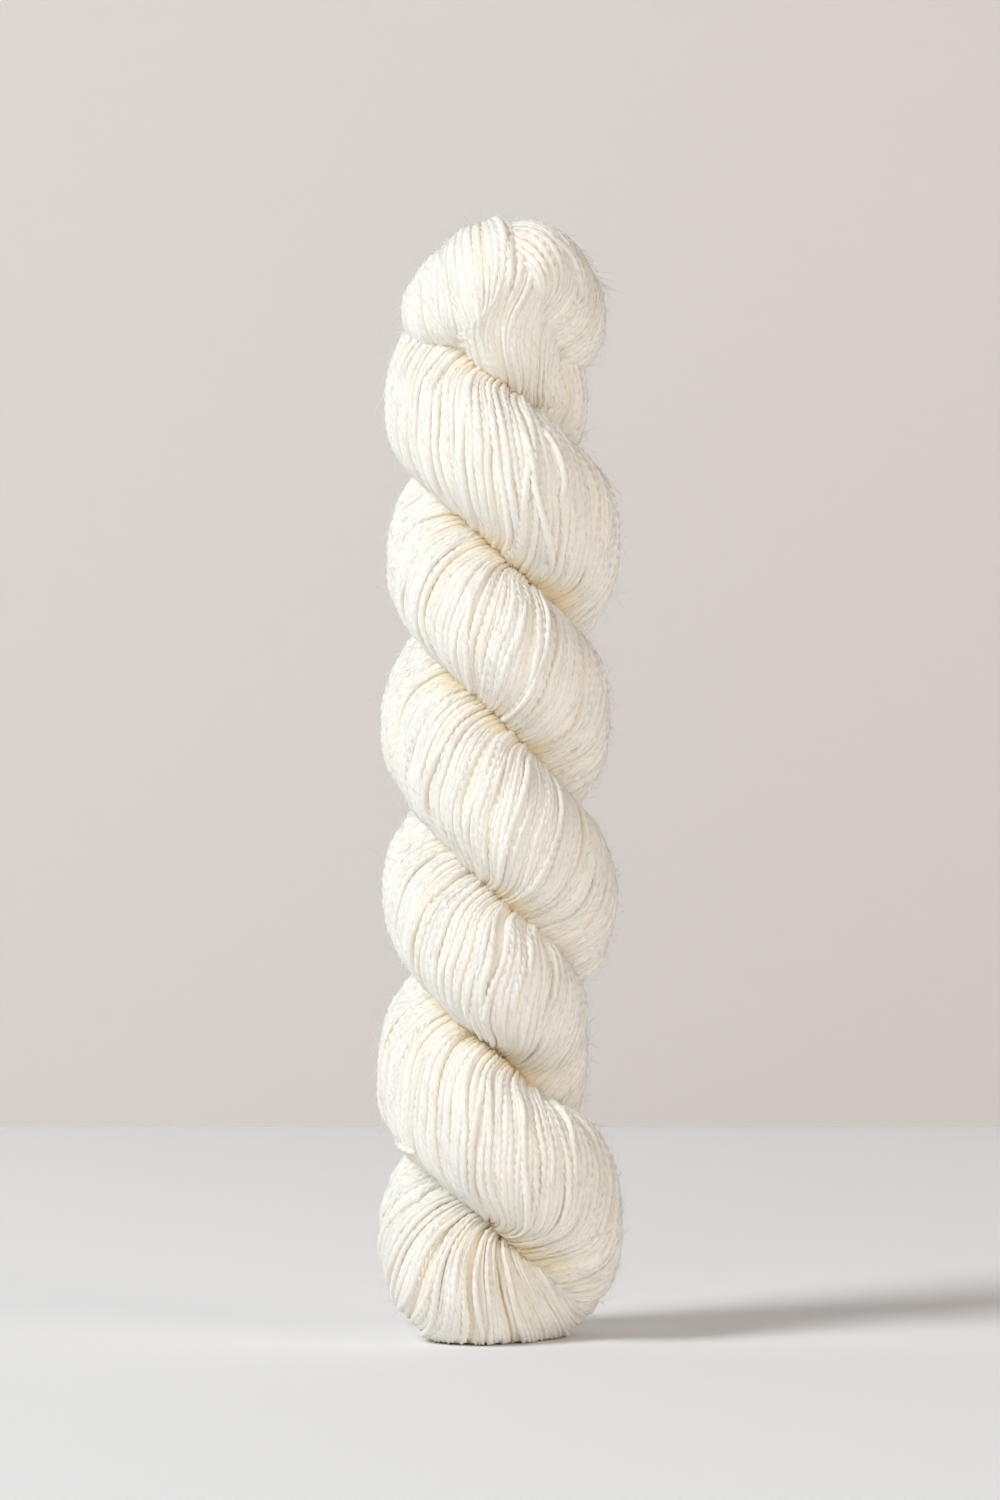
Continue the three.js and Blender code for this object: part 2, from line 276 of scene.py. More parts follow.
class LegTable:
    """Sections of one leg of the rope, with a smooth curve through each column."""

    def __init__(self, rows: tuple[tuple[float, ...], ...]) -> None:
        """Keeps the rows.

        Args:
            rows: Sections, in the order of LEG_COLUMNS.
        """
        table = np.array(rows, float)
        self.columns = {name: table[:, index] for index, name in enumerate(LEG_COLUMNS)}
        self.quarters = self.columns["quarter"]

    def value(self, column: str, quarter: np.ndarray) -> np.ndarray:
        """Value of a column between the rows.

        Args:
            column: Name of the column.
            quarter: Quarter turns of the rope.

        Returns:
            The column's value at each quarter turn.
        """
        heights = self.columns[column]
        last = len(heights) - 1
        place = np.clip(quarter, self.quarters[0], self.quarters[last])
        after = np.clip(np.searchsorted(self.quarters, place, side="left"), 1, last)
        span = self.quarters[after] - self.quarters[after - 1]
        part = (place - self.quarters[after - 1]) / span
        rise = part * part * (3.0 - 2.0 * part)
        leave = part * (1.0 - part) ** 2 * span * self._slope(heights, after - 1)
        arrive = part * part * (part - 1.0) * span * self._slope(heights, after)
        return heights[after - 1] + (heights[after] - heights[after - 1]) * rise + leave + arrive

    def _slope(self, heights: np.ndarray, index: np.ndarray) -> np.ndarray:
        """Slope of a column at a row, from the rows on both sides of it.

        Args:
            heights: The column.
            index: Numbers of the rows.

        Returns:
            The slope at each row.
        """
        low = np.maximum(index - 1, 0)
        high = np.minimum(index + 1, len(heights) - 1)
        return (heights[high] - heights[low]) / (self.quarters[high] - self.quarters[low])


@dataclass(frozen=True)
class Bundle:
    """The whole bundle of yarn: leg A, the fold and leg B, as one long path with a section.

    A place along the bundle is counted in quarter turns of the rope from the head end of leg A.
    An angle round it is 0 on the side that faces out, and positive towards its upper side on
    leg A and its lower side on leg B.
    """

    leg_a: LegTable = field(default_factory=lambda: LegTable(LEG_A_ROWS))
    leg_b: LegTable = field(default_factory=lambda: LegTable(LEG_B_ROWS))
    leg_a_first: float = -4.0
    leg_b_last: float = 11.0
    fold_start: float = 13.0
    fold_end: float = 15.0
    bundle_end: float = 28.0
    fold_radius: float = 15.5
    fold_drop: float = 17.0
    fold_swing: float = 7.6
    fold_swell: float = 1.4
    crotch_height: float = 28.0
    crotch_clearance: float = -1.0
    crown_height: float = 276.0
    rope_radius: float = 14.5
    direction_step: float = 0.02
    section_power: float = 0.88

    def fold_part(self, place: np.ndarray) -> np.ndarray:
        """Share of the fold that is passed at a place, from 0 at leg A to 1 at leg B."""
        return np.clip((place - self.fold_start) / (self.fold_end - self.fold_start), 0.0, 1.0)

    def column(self, name: str, place: np.ndarray) -> np.ndarray:
        """Value of a column of the leg tables at places along the bundle.

        Args:
            name: Name of the column.
            place: Places along the bundle.

        Returns:
            The value at each place, in the table's own unit.
        """
        place = np.asarray(place, float)
        down = self.leg_a.value(name, place + self.leg_a_first)
        up = self.leg_b.value(name, self.leg_b_last - (place - self.fold_end))
        part = self.fold_part(place)
        mix = part * part * (3.0 - 2.0 * part)
        return down * (1.0 - mix) + up * mix

    def turn(self, place: np.ndarray) -> np.ndarray:
        """Angle round the rope's axis of a leg's middle: 0 is the front, a quarter turn the right.

        Args:
            place: Places along the bundle.

        Returns:
            The angle in radians.
        """
        quarter = np.where(
            place <= self.fold_start,
            place + self.leg_a_first,
            self.leg_b_last - (place - self.fold_end),
        )
        return quarter * math.pi / 2.0

    def centre(self, place: np.ndarray) -> np.ndarray:
        """Middle of the bundle at places along it, in millimetres.

        Args:
            place: Places along the bundle.

        Returns:
            The points.
        """
        place = np.asarray(place, float)
        turn = self.turn(place)
        out = self.column("out", place)
        height = self.column("z", place)
        leg = np.stack([out * np.sin(turn), -out * np.cos(turn), height], axis=-1)
        bend = math.pi * self.fold_part(place)
        fold = np.stack(
            [
                self.fold_radius * np.cos(bend),
                self.fold_swing * np.sin(2.0 * bend),
                height - self.fold_drop * np.sin(bend),
            ],
            axis=-1,
        )
        in_fold = (place > self.fold_start) & (place < self.fold_end)
        return np.where(in_fold[..., None], fold, leg)

    def along(self, place: np.ndarray) -> np.ndarray:
        """Direction of the bundle at places along it.

        Args:
            place: Places along the bundle.

        Returns:
            Vectors of length one.
        """
        place = np.asarray(place, float)
        before = self.centre(place - self.direction_step)
        after = self.centre(place + self.direction_step)
        step = after - before
        turn = self.turn(place)
        downwards = np.where(place <= self.fold_start, 1.0, -1.0)
        run = 2.0 * self.direction_step * self.rope_radius * math.pi / 2.0 * downwards
        leg = np.stack([run * np.cos(turn), run * np.sin(turn), step[..., 2]], axis=-1)
        in_fold = (place > self.fold_start) & (place < self.fold_end)
        return unit(np.where(in_fold[..., None], step, leg))

    def section(self, place: np.ndarray) -> tuple[np.ndarray, np.ndarray, np.ndarray]:
        """Middle, outward direction and sideways direction of the bundle's section.

        Args:
            place: Places along the bundle.

        Returns:
            Three arrays of vectors, one row a place.
        """
        centre = self.centre(place)
        along = self.along(place)
        anchor = np.zeros_like(centre)
        anchor[..., 2] = np.clip(centre[..., 2], self.crotch_height, self.crown_height)
        outward = centre - anchor
        outward = unit(outward - along * row_dot(outward, along))
        return centre, outward, np.cross(outward, along)

    def filled_out(self, value: np.ndarray) -> np.ndarray:
        """Sine or cosine of an angle round a section that is pressed a little square."""
        return np.sign(value) * np.abs(value) ** self.section_power

    def depth(self, place: np.ndarray, angle: np.ndarray) -> tuple[np.ndarray, np.ndarray]:
        """Radii of the section, out from the rope's axis and across that, in millimetres.

        Args:
            place: Places along the bundle.
            angle: Angles round the bundle.

        Returns:
            The radius away from or towards the axis, and the radius across.
        """
        swell = self.fold_swell * np.sin(math.pi * self.fold_part(place))
        wide = self.column("wide", place) + swell
        from_fold = np.maximum(np.maximum(self.fold_start - place, place - self.fold_end), 0.0)
        shallow = np.minimum(wide, self.fold_radius - self.crotch_clearance)
        share = np.minimum(from_fold, 1.0)
        inner = shallow * (1.0 - share) + wide * share
        return np.where(np.cos(angle) >= 0.0, wide, inner), self.column("tall", place)

    def surface(self, place: np.ndarray, angle: np.ndarray, rise: np.ndarray) -> np.ndarray:
        """Points over the surface of the bundle.

        Args:
            place: Places along the bundle.
            angle: Angles round the bundle.
            rise: Height over the surface, in millimetres.

        Returns:
            The points, in millimetres.
        """
        place, angle, rise = np.broadcast_arrays(
            np.asarray(place, float), np.asarray(angle, float), np.asarray(rise, float)
        )
        place = np.clip(place, 0.0, self.bundle_end)
        centre, outward, side = self.section(place)
        deep, tall = self.depth(place, angle)
        out = (deep + rise) * self.filled_out(np.cos(angle))
        across = (tall + rise) * self.filled_out(np.sin(angle))
        return centre + outward * out[..., None] + side * across[..., None]


@dataclass
class StrandFlow:
    """How strands slant along the bundle while they go round it, and where they run together.

    Each span is the angles in degrees over which something rises from nothing to its whole.
    """

    bulge: float = 0.9
    dip_width: float = 0.6
    hidden_span: tuple[float, float] = (100.0, 150.0)
    draw_span: tuple[float, float] = (35.0, 95.0)
    swell_span: tuple[float, float] = (70.0, 98.0)
    dip_span: tuple[float, float] = (62.0, 92.0)

    def __post_init__(self) -> None:
        """Reads the tables."""
        table = np.array(FLOW_ROWS, float)
        self.places = table[:, 0]
        self.slopes = table[:, 1:]
        self.poles = [dict(zip(POLE_COLUMNS, row)) for row in POLE_ROWS]

    def slope(self, place: np.ndarray, angle: float) -> np.ndarray:
        """Change of place for each radian round the bundle.

        Args:
            place: Places along the bundle.
            angle: Angle round it.

        Returns:
            The slope at each place.
        """
        last = self.slopes.shape[1] - 1
        spot = min(max((angle / math.pi + 0.5) * last, 0.0), float(last))
        left = min(int(spot), last - 1)
        near = np.interp(place, self.places, self.slopes[:, left])
        far = np.interp(place, self.places, self.slopes[:, left + 1])
        hidden = float(ramp(np.array(abs(angle)), self.hidden_span))
        return (near + (far - near) * (spot - left)) * (1.0 - hidden)

    def paths(self, starts: np.ndarray, angles: np.ndarray) -> np.ndarray:
        """Places of the strands at angles round the bundle.

        Args:
            starts: Place of each strand on the side that faces out.
            angles: Evenly spaced angles, with 0 in their middle.

        Returns:
            One row a strand and one column an angle.
        """
        middle = len(angles) // 2
        step = angles[1] - angles[0]
        paths = np.zeros((len(starts), len(angles)))
        paths[:, middle] = starts
        for way in (1, -1):
            index = middle
            while 0 <= index + way < len(angles):
                halfway = angles[index] + way * step / 2.0
                slope = self.slope(paths[:, index], halfway)
                paths[:, index + way] = paths[:, index] + slope * way * step
                index += way
        return self.gathered(paths, angles)

    def gathered(self, paths: np.ndarray, angles: np.ndarray) -> np.ndarray:
        """Paths whose ends are drawn towards the poles.

        Args:
            paths: Places of the strands, one row a strand.
            angles: Angles of the columns.

        Returns:
            The drawn paths.
        """
        drawn = paths.copy()
        for pole in self.poles:
            gap = pole["place"] - paths
            share = ramp(pole["side"] * angles, self.draw_span)
            drawn += pole["pull"] * gap * np.exp(-((gap / pole["width"]) ** 2)) * share
        return drawn

    def swell(self, start: np.ndarray, angle: np.ndarray) -> np.ndarray:
        """How far the yarn bulges into the creases between the lobes, in millimetres.

        Args:
            start: Place of a strand on the side that faces out.
            angle: Angles along it.

        Returns:
            The extra height there.
        """
        return self.bulge * ramp(np.abs(angle), self.swell_span) * by_place(SWELL_ROWS, start)

    def dip(self, place: np.ndarray, angle: np.ndarray) -> np.ndarray:
        """How deep the strands go down at the poles, in millimetres.

        Args:
            place: Places along the bundle.
            angle: Angles round it.

        Returns:
            The depth.
        """
        depth = np.zeros_like(place)
        for pole in self.poles:
            near = np.exp(-(((pole["place"] - place) / (self.dip_width * pole["width"])) ** 2))
            depth += pole["dip"] * near * ramp(pole["side"] * angle, self.dip_span)
        return depth


class Ply(Enum):
    """How many plies are twisted into the strand, and which way."""

    FOUR_LEFT = (4, -1.0)

    @property
    def count(self) -> int:
        """Number of plies."""
        return self.value[0]

    @property
    def way(self) -> float:
        """Sign of the twist."""
        return self.value[1]


@dataclass(frozen=True)
class Section:
    """Outline of a strand or a fibre: its points, how many of them make a ply, the depth of the
    hollows between plies as a share of its radius, and how much painted shade its colour takes
    on its sides and in those hollows."""

    points: int
    points_a_ply: int = 1
    depth: float = 0.0
    side_painted_shade: float = 0.0
    hollow_painted_shade: float = 0.0


@dataclass(frozen=True)
class YarnMake:
    """The strand as it is spun, in millimetres.

    Girths are half thicknesses, ply_depth a share of that, and fullness the half thickness as a
    share of the distance to the next strand.
    """

    girth: float = 1.42
    ply: Ply = Ply.FOUR_LEFT
    ply_pitch: float = 10.5
    ply_depth: float = 0.34
    points_a_ply: int = 2
    step: float = 1.0
    fewest_steps: int = 8
    least_girth: float = 0.75
    fullness: float = 0.62
    unevenness: float = 0.09
    uneven_wave: float = 15.0
    thinnest: float = 0.84
    thickest: float = 1.1
    # Painted shade on the sides of a strand that turn from the bundle, and in its ply hollows.
    side_painted_shade: float = 0.22
    hollow_painted_shade: float = 0.15

    @property
    def section(self) -> Section:
        """Outline of the strand.

        Returns:
            The section with its plies.
        """
        return Section(
            self.ply.count * self.points_a_ply,
            self.points_a_ply,
            self.ply_depth,
            self.side_painted_shade,
            self.hollow_painted_shade,
        )


class SmoothNoise:
    """Random waves along a line, the same on each run."""

    def __init__(self, rng: np.random.Generator, waves: int = 4) -> None:
        """Draws the waves.

        Args:
            rng: Source of random numbers.
            waves: Number of waves that are added up.
        """
        self.rates = rng.uniform(0.5, 1.6, waves)
        self.phases = rng.uniform(0.0, 2.0 * math.pi, waves)
        self.sizes = rng.uniform(0.5, 1.0, waves)
        self.sizes /= np.sqrt(np.sum(self.sizes**2) / 2.0)

    def at(self, where: np.ndarray) -> np.ndarray:
        """Value of the waves, about -1 to 1, where one unit is about one wave."""
        angles = np.multiply.outer(where, self.rates) * 2.0 * math.pi + self.phases
        return np.sin(angles) @ self.sizes * 0.6


@dataclass
class StrandLine:
    """One strand's middle line, with its thickness, its twist and how deep it lies.

    Each array has one row a point: the point, the direction away from the bundle, half the
    thickness, the turn of the plies, and the share of painted shade in its colour, from 0 on top
    to 1 in a groove or crease.
    """

    points: np.ndarray
    out: np.ndarray
    girth: np.ndarray
    twist: np.ndarray
    deep: np.ndarray
    shade: float


@dataclass(frozen=True)
class LockShape:
    """How the strands lie together in locks, in millimetres.

    fewest and most are strands in a lock. Pulls are shares of the way to the lock's middle. Tints
    are shares of the groove colour, painted as shade in the grooves between locks, towards the
    creases and at the poles; the band of that painted shade before a crease and end_span are in
    degrees, waves are the lengths of slow changes along a strand, and crossings are kept between
    two places of the bundle.
    """

    fewest: int = 3
    most: int = 8
    shallowest: float = 0.25
    deepest: float = 1.05
    pull: float = 0.05
    end_pull: float = 0.16
    wander: float = 0.6
    lift: float = 0.24
    crossing: float = 2.2
    crossing_share: float = 0.3
    proud: float = 0.5
    # Painted shade: shares of the groove colour in the grooves between locks, towards the creases and at
    # the poles, and the band in degrees before a crease over which it deepens.
    groove_painted_shade: float = 0.3
    crease_painted_shade: float = 0.85
    pole_painted_shade: float = 4.0
    painted_shade_band: float = 24.0
    fold_place: float = 14.2
    fold_deepening: float = 0.6
    groove_power: int = 3
    pull_starts: float = 0.25
    first_crossing: float = 2.5
    last_crossing: float = 25.0
    end_span: float = 10.0
    end_sink: float = 0.9
    wander_wave: float = 45.0
    groove_wave: float = 30.0
    lift_wave: float = 34.0


@dataclass(frozen=True)
class ProudShape:
    """How a strand of the table lies over the others: its gap to the next one of the same row,
    in places, how far it opens at the upper end and closes at the lower, the share of its length
    that its ends take to sink in, and how deep they sink in millimetres."""

    apart: float = 0.075
    opens: float = 1.1
    closes: float = 0.3
    end_share: float = 0.24
    sink: float = 1.1


@dataclass(frozen=True)
class LoopShape:
    """The small slipped loop: its place along the bundle, the piece it goes to, the angle round
    the bundle in degrees, its height and the gap that it fills in millimetres, and its points."""

    place: float = 11.5
    piece_place: float = 11.4
    angle: float = -42.0
    size: float = 1.7
    gap: float = 1.7
    points: int = 26


@dataclass
class Winding:
    """The strands that show on the bundle, in locks that lie together, in millimetres.

    jitter is the most that a strand is off its even place, as a share of the spacing, and
    layout_angle the degrees each way over which the spacing is measured.
    """

    bundle: Bundle
    make: YarnMake
    rng: np.random.Generator
    flow: StrandFlow = field(default_factory=StrandFlow)
    shape: LockShape = field(default_factory=LockShape)
    spacing: float = 2.4
    inset: float = 0.9
    jitter: float = 0.22
    layout_angle: float = 80.0
    layout_points: int = 1600
    end_margin: float = 0.05
    points: int = 60

    def __post_init__(self) -> None:
        """Lays out the strands."""
        self.angles = np.radians(np.arange(-180.0, 181.0, 3.0))
        self.starts = self.spread_out()
        self.paths = self.flow.paths(self.starts, self.angles)
        self.gaps, self.steps = self.measure(self.paths)
        self.grooves = self.groove_places()
        depths = (self.shape.shallowest, self.shape.deepest)
        self.groove_depths = self.rng.uniform(*depths, len(self.grooves))
        self.draws = self.rng.uniform(0.0, self.shape.end_pull, (len(self.grooves), 2))

    def measure(self, paths: np.ndarray) -> tuple[np.ndarray, np.ndarray]:
        """Distance from strand to strand, square to them.

        Args:
            paths: Places of the strands, one row a strand.

        Returns:
            The distances in millimetres, and the same steps as places along the bundle.
        """
        points = self.bundle.surface(paths, self.angles[None, :], 0.0)
        flow = unit(np.gradient(points, axis=1))
        beside = np.gradient(points, axis=0)
        square = beside - flow * row_dot(beside, flow)
        return np.linalg.norm(square, axis=-1), np.gradient(paths, axis=0)

    def spread_out(self) -> np.ndarray:
        """Places of the strands on the side that faces out, none too far from the next.

        Returns:
            The places.
        """
        last = self.bundle.bundle_end - self.end_margin
        fine = np.linspace(self.end_margin, last, self.layout_points)
        gaps, _ = self.measure(self.flow.paths(fine, self.angles))
        shows = np.abs(self.angles) < math.radians(self.layout_angle)
        widest = np.percentile(gaps[:, shows], 85, axis=1)
        run = np.concatenate([[0.0], np.cumsum((widest[1:] + widest[:-1]) / 2.0)])
        count = int(run[-1] / self.spacing)
        even = (np.arange(count) + 0.5) * run[-1] / count
        even += self.rng.uniform(-self.jitter, self.jitter, count) * self.spacing
        return np.interp(even, run, fine)

    def groove_places(self) -> np.ndarray:
        """Places of the grooves between locks.

        Returns:
            The places, with one before the first strand and one after the last.
        """
        grooves = [-0.1]
        index = 0
        while index < len(self.starts):
            index += int(self.rng.integers(self.shape.fewest, self.shape.most))
            if index < len(self.starts):
                grooves.append((self.starts[index] + self.starts[index - 1]) / 2.0)
        grooves.append(self.bundle.bundle_end + 0.1)
        return np.array(grooves)

    def lock_of(self, start: np.ndarray) -> tuple[np.ndarray, np.ndarray, np.ndarray]:
        """Lock that a strand lies in.

        Args:
            start: Places of strands on the side that faces out.

        Returns:
            Number of the lock, where the strand lies across it from -1 to 1, and the depth of
            the groove there in millimetres.
        """
        lock = np.clip(np.searchsorted(self.grooves, start) - 1, 0, len(self.grooves) - 2)
        low, high = self.grooves[lock], self.grooves[lock + 1]
        across = np.clip(2.0 * (start - low) / (high - low) - 1.0, -1.0, 1.0)
        near = np.where(across < 0.0, self.groove_depths[lock], self.groove_depths[lock + 1])
        shape = self.shape
        near = near * (1.0 + shape.fold_deepening * np.exp(-((start - shape.fold_place) ** 2)))
        return lock, across, near * np.abs(across) ** shape.groove_power

    def reach(self, place: np.ndarray) -> np.ndarray:
        """Angle at which a strand's ends are out of sight."""
        return np.radians(by_place(REACH_ROWS, place))

    def painted_shade(self, start: np.ndarray, angle: np.ndarray) -> np.ndarray:
        """Share of the groove colour, painted as shade, that a strand takes towards the creases.

        Args:
            start: Place of the strand on the side that faces out.
            angle: Angles along it.

        Returns:
            The share, from 0 to the most that a crease gives.
        """
        # Painted shade: it deepens over a band of degrees before the crease angle.
        past = np.abs(angle) - np.radians(by_place(CREASE_ROWS, start))
        part = np.clip(past / math.radians(self.shape.painted_shade_band) + 1.0, 0.0, 1.0)
        return self.shape.crease_painted_shade * part * part

    def line(
        self, place: np.ndarray, angle: np.ndarray, rise: np.ndarray, girth: np.ndarray, deep: np.ndarray
    ) -> StrandLine:
        """Strand through places and angles on the bundle.

        Args:
            place: Places along the bundle.
            angle: Angles round it.
            rise: Height of the strand's top over the bundle, less the usual sinking in.
            girth: Half the thickness.
            deep: Share of painted shade in its colour.

        Returns:
            The strand.
        """
        points = self.bundle.surface(place, angle, rise - self.inset * girth)
        out = unit(self.bundle.surface(place, angle, rise + 1.0) - points)
        points[:, 2] = np.maximum(points[:, 2], girth)
        twist = self.make.ply.way * 2.0 * math.pi * run_along(points) / self.make.ply_pitch
        twist = twist + self.rng.uniform(0.0, 2.0 * math.pi)
        return StrandLine(points, out, girth, twist, deep, float(self.rng.uniform(-1.0, 1.0)))

    def even_steps(self, place: np.ndarray, angle: np.ndarray) -> tuple[np.ndarray, np.ndarray]:
        """Even steps along a line on the bundle.

        Args:
            place: Places at points of the line.
            angle: Angles there.

        Returns:
            The distance run at each step, and the share of the way through the given points.
        """
        lengths = run_along(self.bundle.surface(place, angle, 0.0))
        count = max(self.make.fewest_steps, int(lengths[-1] / self.make.step))
        run = np.linspace(0.0, lengths[-1], count)
        return run, np.interp(run, lengths, np.arange(len(lengths)))

    def thickness(self, gap: np.ndarray, run: np.ndarray) -> np.ndarray:
        """Half the thickness of a strand, squeezed where the strands run together.

        Args:
            gap: Distance to the next strand.
            run: Distance run along the strand.

        Returns:
            Half the thickness, a little uneven as it is spun.
        """
        make = self.make
        girth = np.clip(gap * make.fullness, make.least_girth, make.girth)
        uneven = 1.0 + make.unevenness * SmoothNoise(self.rng).at(run / make.uneven_wave)
        return girth * uneven * self.rng.uniform(make.thinnest, make.thickest)

    def strand(self, number: int) -> StrandLine:
        """One strand, from crease to crease over the side that shows.

        Args:
            number: Number of the strand.

        Returns:
            The strand's line in millimetres.
        """
        shape = self.shape
        start = float(self.starts[number])
        reach = float(self.reach(start))
        tuck = math.radians(float(by_place(TUCK_ROWS, start)))
        coarse = np.linspace(min(reach, tuck), -reach, self.points)
        run, spot = self.even_steps(np.interp(coarse, self.angles, self.paths[number]), coarse)
        angle = np.interp(spot, np.arange(self.points), coarse)
        path = np.interp(angle, self.angles, self.paths[number])
        gap = np.maximum(np.interp(angle, self.angles, self.gaps[number]), 0.2)
        step = np.interp(angle, self.angles, self.steps[number])
        lock, across, groove = (float(v) for v in self.lock_of(start))
        width = self.grooves[int(lock) + 1] - self.grooves[int(lock)]
        members = max(1.0, width / max(np.median(self.steps[number]), 1e-4))
        along = (run / run[-1]) * 2.0 - 1.0
        draw = self.draws[int(lock)]
        towards_end = smooth_step(np.abs(along), shape.pull_starts, 1.0)
        pull = shape.pull + np.where(along < 0.0, draw[0], draw[1]) * towards_end
        noise = [SmoothNoise(self.rng) for _ in range(3)]
        aside = -across * pull * members * gap / 2.0
        aside = aside + shape.wander * noise[0].at(run / shape.wander_wave) * gap / self.spacing
        low = groove * (0.75 + 0.25 * noise[1].at(run / shape.groove_wave))
        rise = shape.lift * noise[2].at(run / shape.lift_wave) - low
        crosses = self.rng.random() < shape.crossing_share
        if crosses and shape.first_crossing < start < shape.last_crossing:
            way = self.rng.choice((-1.0, 1.0))
            aside = aside + way * shape.crossing * along * gap / self.spacing
            rise = rise + shape.proud * np.cos(along * math.pi / 2.0)
        dip = self.flow.dip(path, angle)
        rise = rise - dip + self.flow.swell(start, angle)
        end_starts = reach - math.radians(shape.end_span)
        rise = rise - shape.end_sink * smooth_step(np.abs(angle), end_starts, reach)
        # Painted shade: the groove colour in deeper grooves and towards the creases.
        deep = np.maximum(shape.groove_painted_shade * low, self.painted_shade(start, angle))
        # Painted shade at the poles, where strands dip into a crease.
        deep = np.minimum(deep + shape.pole_painted_shade * dip**2, 1.0)
        return self.line(path + aside * step / gap, angle, rise, self.thickness(gap, run), deep)

    def proud_strands(self) -> list[tuple[float, StrandLine]]:
        """The strands of the table that lie over the others, each with its place.

        Returns:
            Pairs of a place and a strand.
        """
        proud = ProudShape()
        lines = []
        for row in PROUD_ROWS:
            spec = dict(zip(PROUD_COLUMNS, row))
            knots = np.array([spec["upper_angle"], spec["middle_angle"], spec["lower_angle"]], float)
            places = np.array([spec["upper"], spec["middle"], spec["lower"]])
            curve = np.polyfit(np.radians(knots), places, 2)
            coarse = np.radians(np.linspace(knots[0], knots[-1], self.points))
            for index in range(int(spec["count"])):
                apart = proud.apart * (index - (spec["count"] - 1) / 2.0)
                shift = apart * np.linspace(proud.opens, proud.closes, self.points)
                run, spot = self.even_steps(np.polyval(curve, coarse) + shift, coarse)
                angle = np.interp(spot, np.arange(self.points), coarse)
                part = run / run[-1]
                rise = spec["rise"] * np.sin(math.pi * np.clip(part * 0.96 + 0.02, 0.0, 1.0)) ** 0.5
                inside = smooth_step(np.minimum(part, 1.0 - part), 0.0, proud.end_share)
                rise = rise - proud.sink * (1.0 - inside)
                girth = self.thickness(np.full_like(run, self.spacing), run)
                place = np.polyval(curve, angle) + np.interp(spot, np.arange(self.points), shift)
                lines.append((float(spec["middle"]), self.line(place, angle, rise, girth, 0.0 * run)))
        return lines

    def loop(self, loop: LoopShape) -> StrandLine:
        """A small loop of a strand that has slipped out of the bundle.

        Args:
            loop: Its shape.

        Returns:
            The loop's line.
        """
        size = loop.size
        turn = np.linspace(0.0, math.pi, loop.points)
        run = np.linspace(0.0, 3.2 * size, loop.points)
        places = loop.place + 0.045 * size * np.cos(turn) + 0.02 * size * np.sin(2.0 * turn)
        angles = math.radians(loop.angle) + 0.035 * size * np.sin(2.0 * turn)
        rise = size * np.sin(turn) ** 0.8 - 0.6
        girth = self.thickness(np.full(loop.points, loop.gap), run)
        return self.line(places, angles, rise, girth, 0.0 * run)

    def lines(self) -> list[tuple[float, StrandLine]]:
        """All strands, each with its place along the bundle.

        Returns:
            Pairs of a place and a strand.
        """
        woven = [(float(place), self.strand(number)) for number, place in enumerate(self.starts)]
        loop = LoopShape()
        slipped = [(loop.piece_place, self.loop(loop))]
        return woven + self.proud_strands() + slipped


class NodeSheet:
    """A node tree that is built node by node."""

    def __init__(self, tree: bpy.types.NodeTree) -> None:
        """Keeps the tree."""
        self.tree = tree

    def node(
        self, kind: str, inputs: dict[str | int, object] | None = None, **settings: object
    ) -> bpy.types.Node:
        """Adds a node.

        Args:
            kind: Type of the node.
            inputs: Value or socket for each input, by name or number.
            settings: Properties of the node.

        Returns:
            The node.
        """
        made = self.tree.nodes.new(kind)
        for key, value in settings.items():
            setattr(made, key, value)
        for key, value in (inputs or {}).items():
            self.feed(made.inputs[key], value)
        return made

    def feed(self, socket: bpy.types.NodeSocket, value: object) -> None:
        """Links a socket to a value's socket, or sets it to a plain value.

        Args:
            socket: The input.
            value: A socket or a plain value.
        """
        if isinstance(value, bpy.types.NodeSocket):
            self.tree.links.new(value, socket)
        else:
            socket.default_value = value

    def sum_of(self, operation: str, *values: object) -> bpy.types.NodeSocket:
        """Socket of a math node with the given values.

        Args:
            operation: What the node does.
            values: Plain values or sockets.

        Returns:
            The result's socket.
        """
        made = self.node("ShaderNodeMath", operation=operation)
        for index, value in enumerate(values):
            self.feed(made.inputs[index], value)
        return made.outputs[0]


